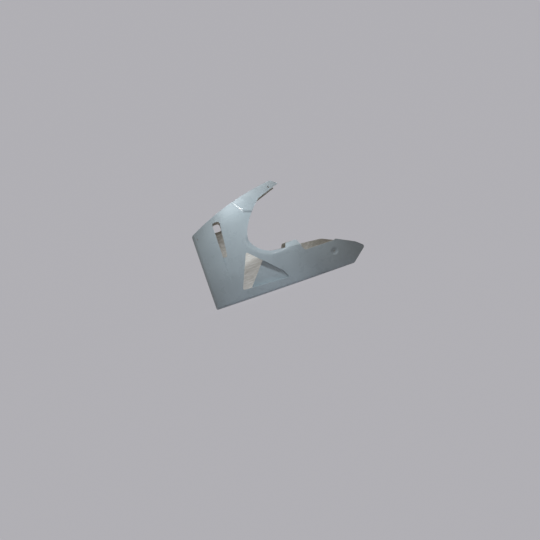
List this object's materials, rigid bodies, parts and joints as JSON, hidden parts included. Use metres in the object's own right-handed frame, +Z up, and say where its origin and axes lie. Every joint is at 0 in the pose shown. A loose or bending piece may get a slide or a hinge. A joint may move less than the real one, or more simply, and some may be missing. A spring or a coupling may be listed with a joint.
{
  "type": "motorcycle belly pan",
  "caption": "One-piece fibreglass lower fairing with a flat belly, curved sides, swept arms, slots and one triangular vent.",
  "frame": {"origin": "middle of the underside of the object's box, in the plane of the flat belly", "axes": "+Z up, +X towards the tail, so the front edge is at -X; the side in the picture is the left one, at -Y"},
  "size_m": [0.895, 0.41, 0.5776],
  "materials": {
    "gelcoat": "pale blue-grey gelcoat outside, bare glass laminate inside"
  },
  "bodies": {
    "root": {"belly_pan": "gelcoat"}
  },
  "joints": []
}
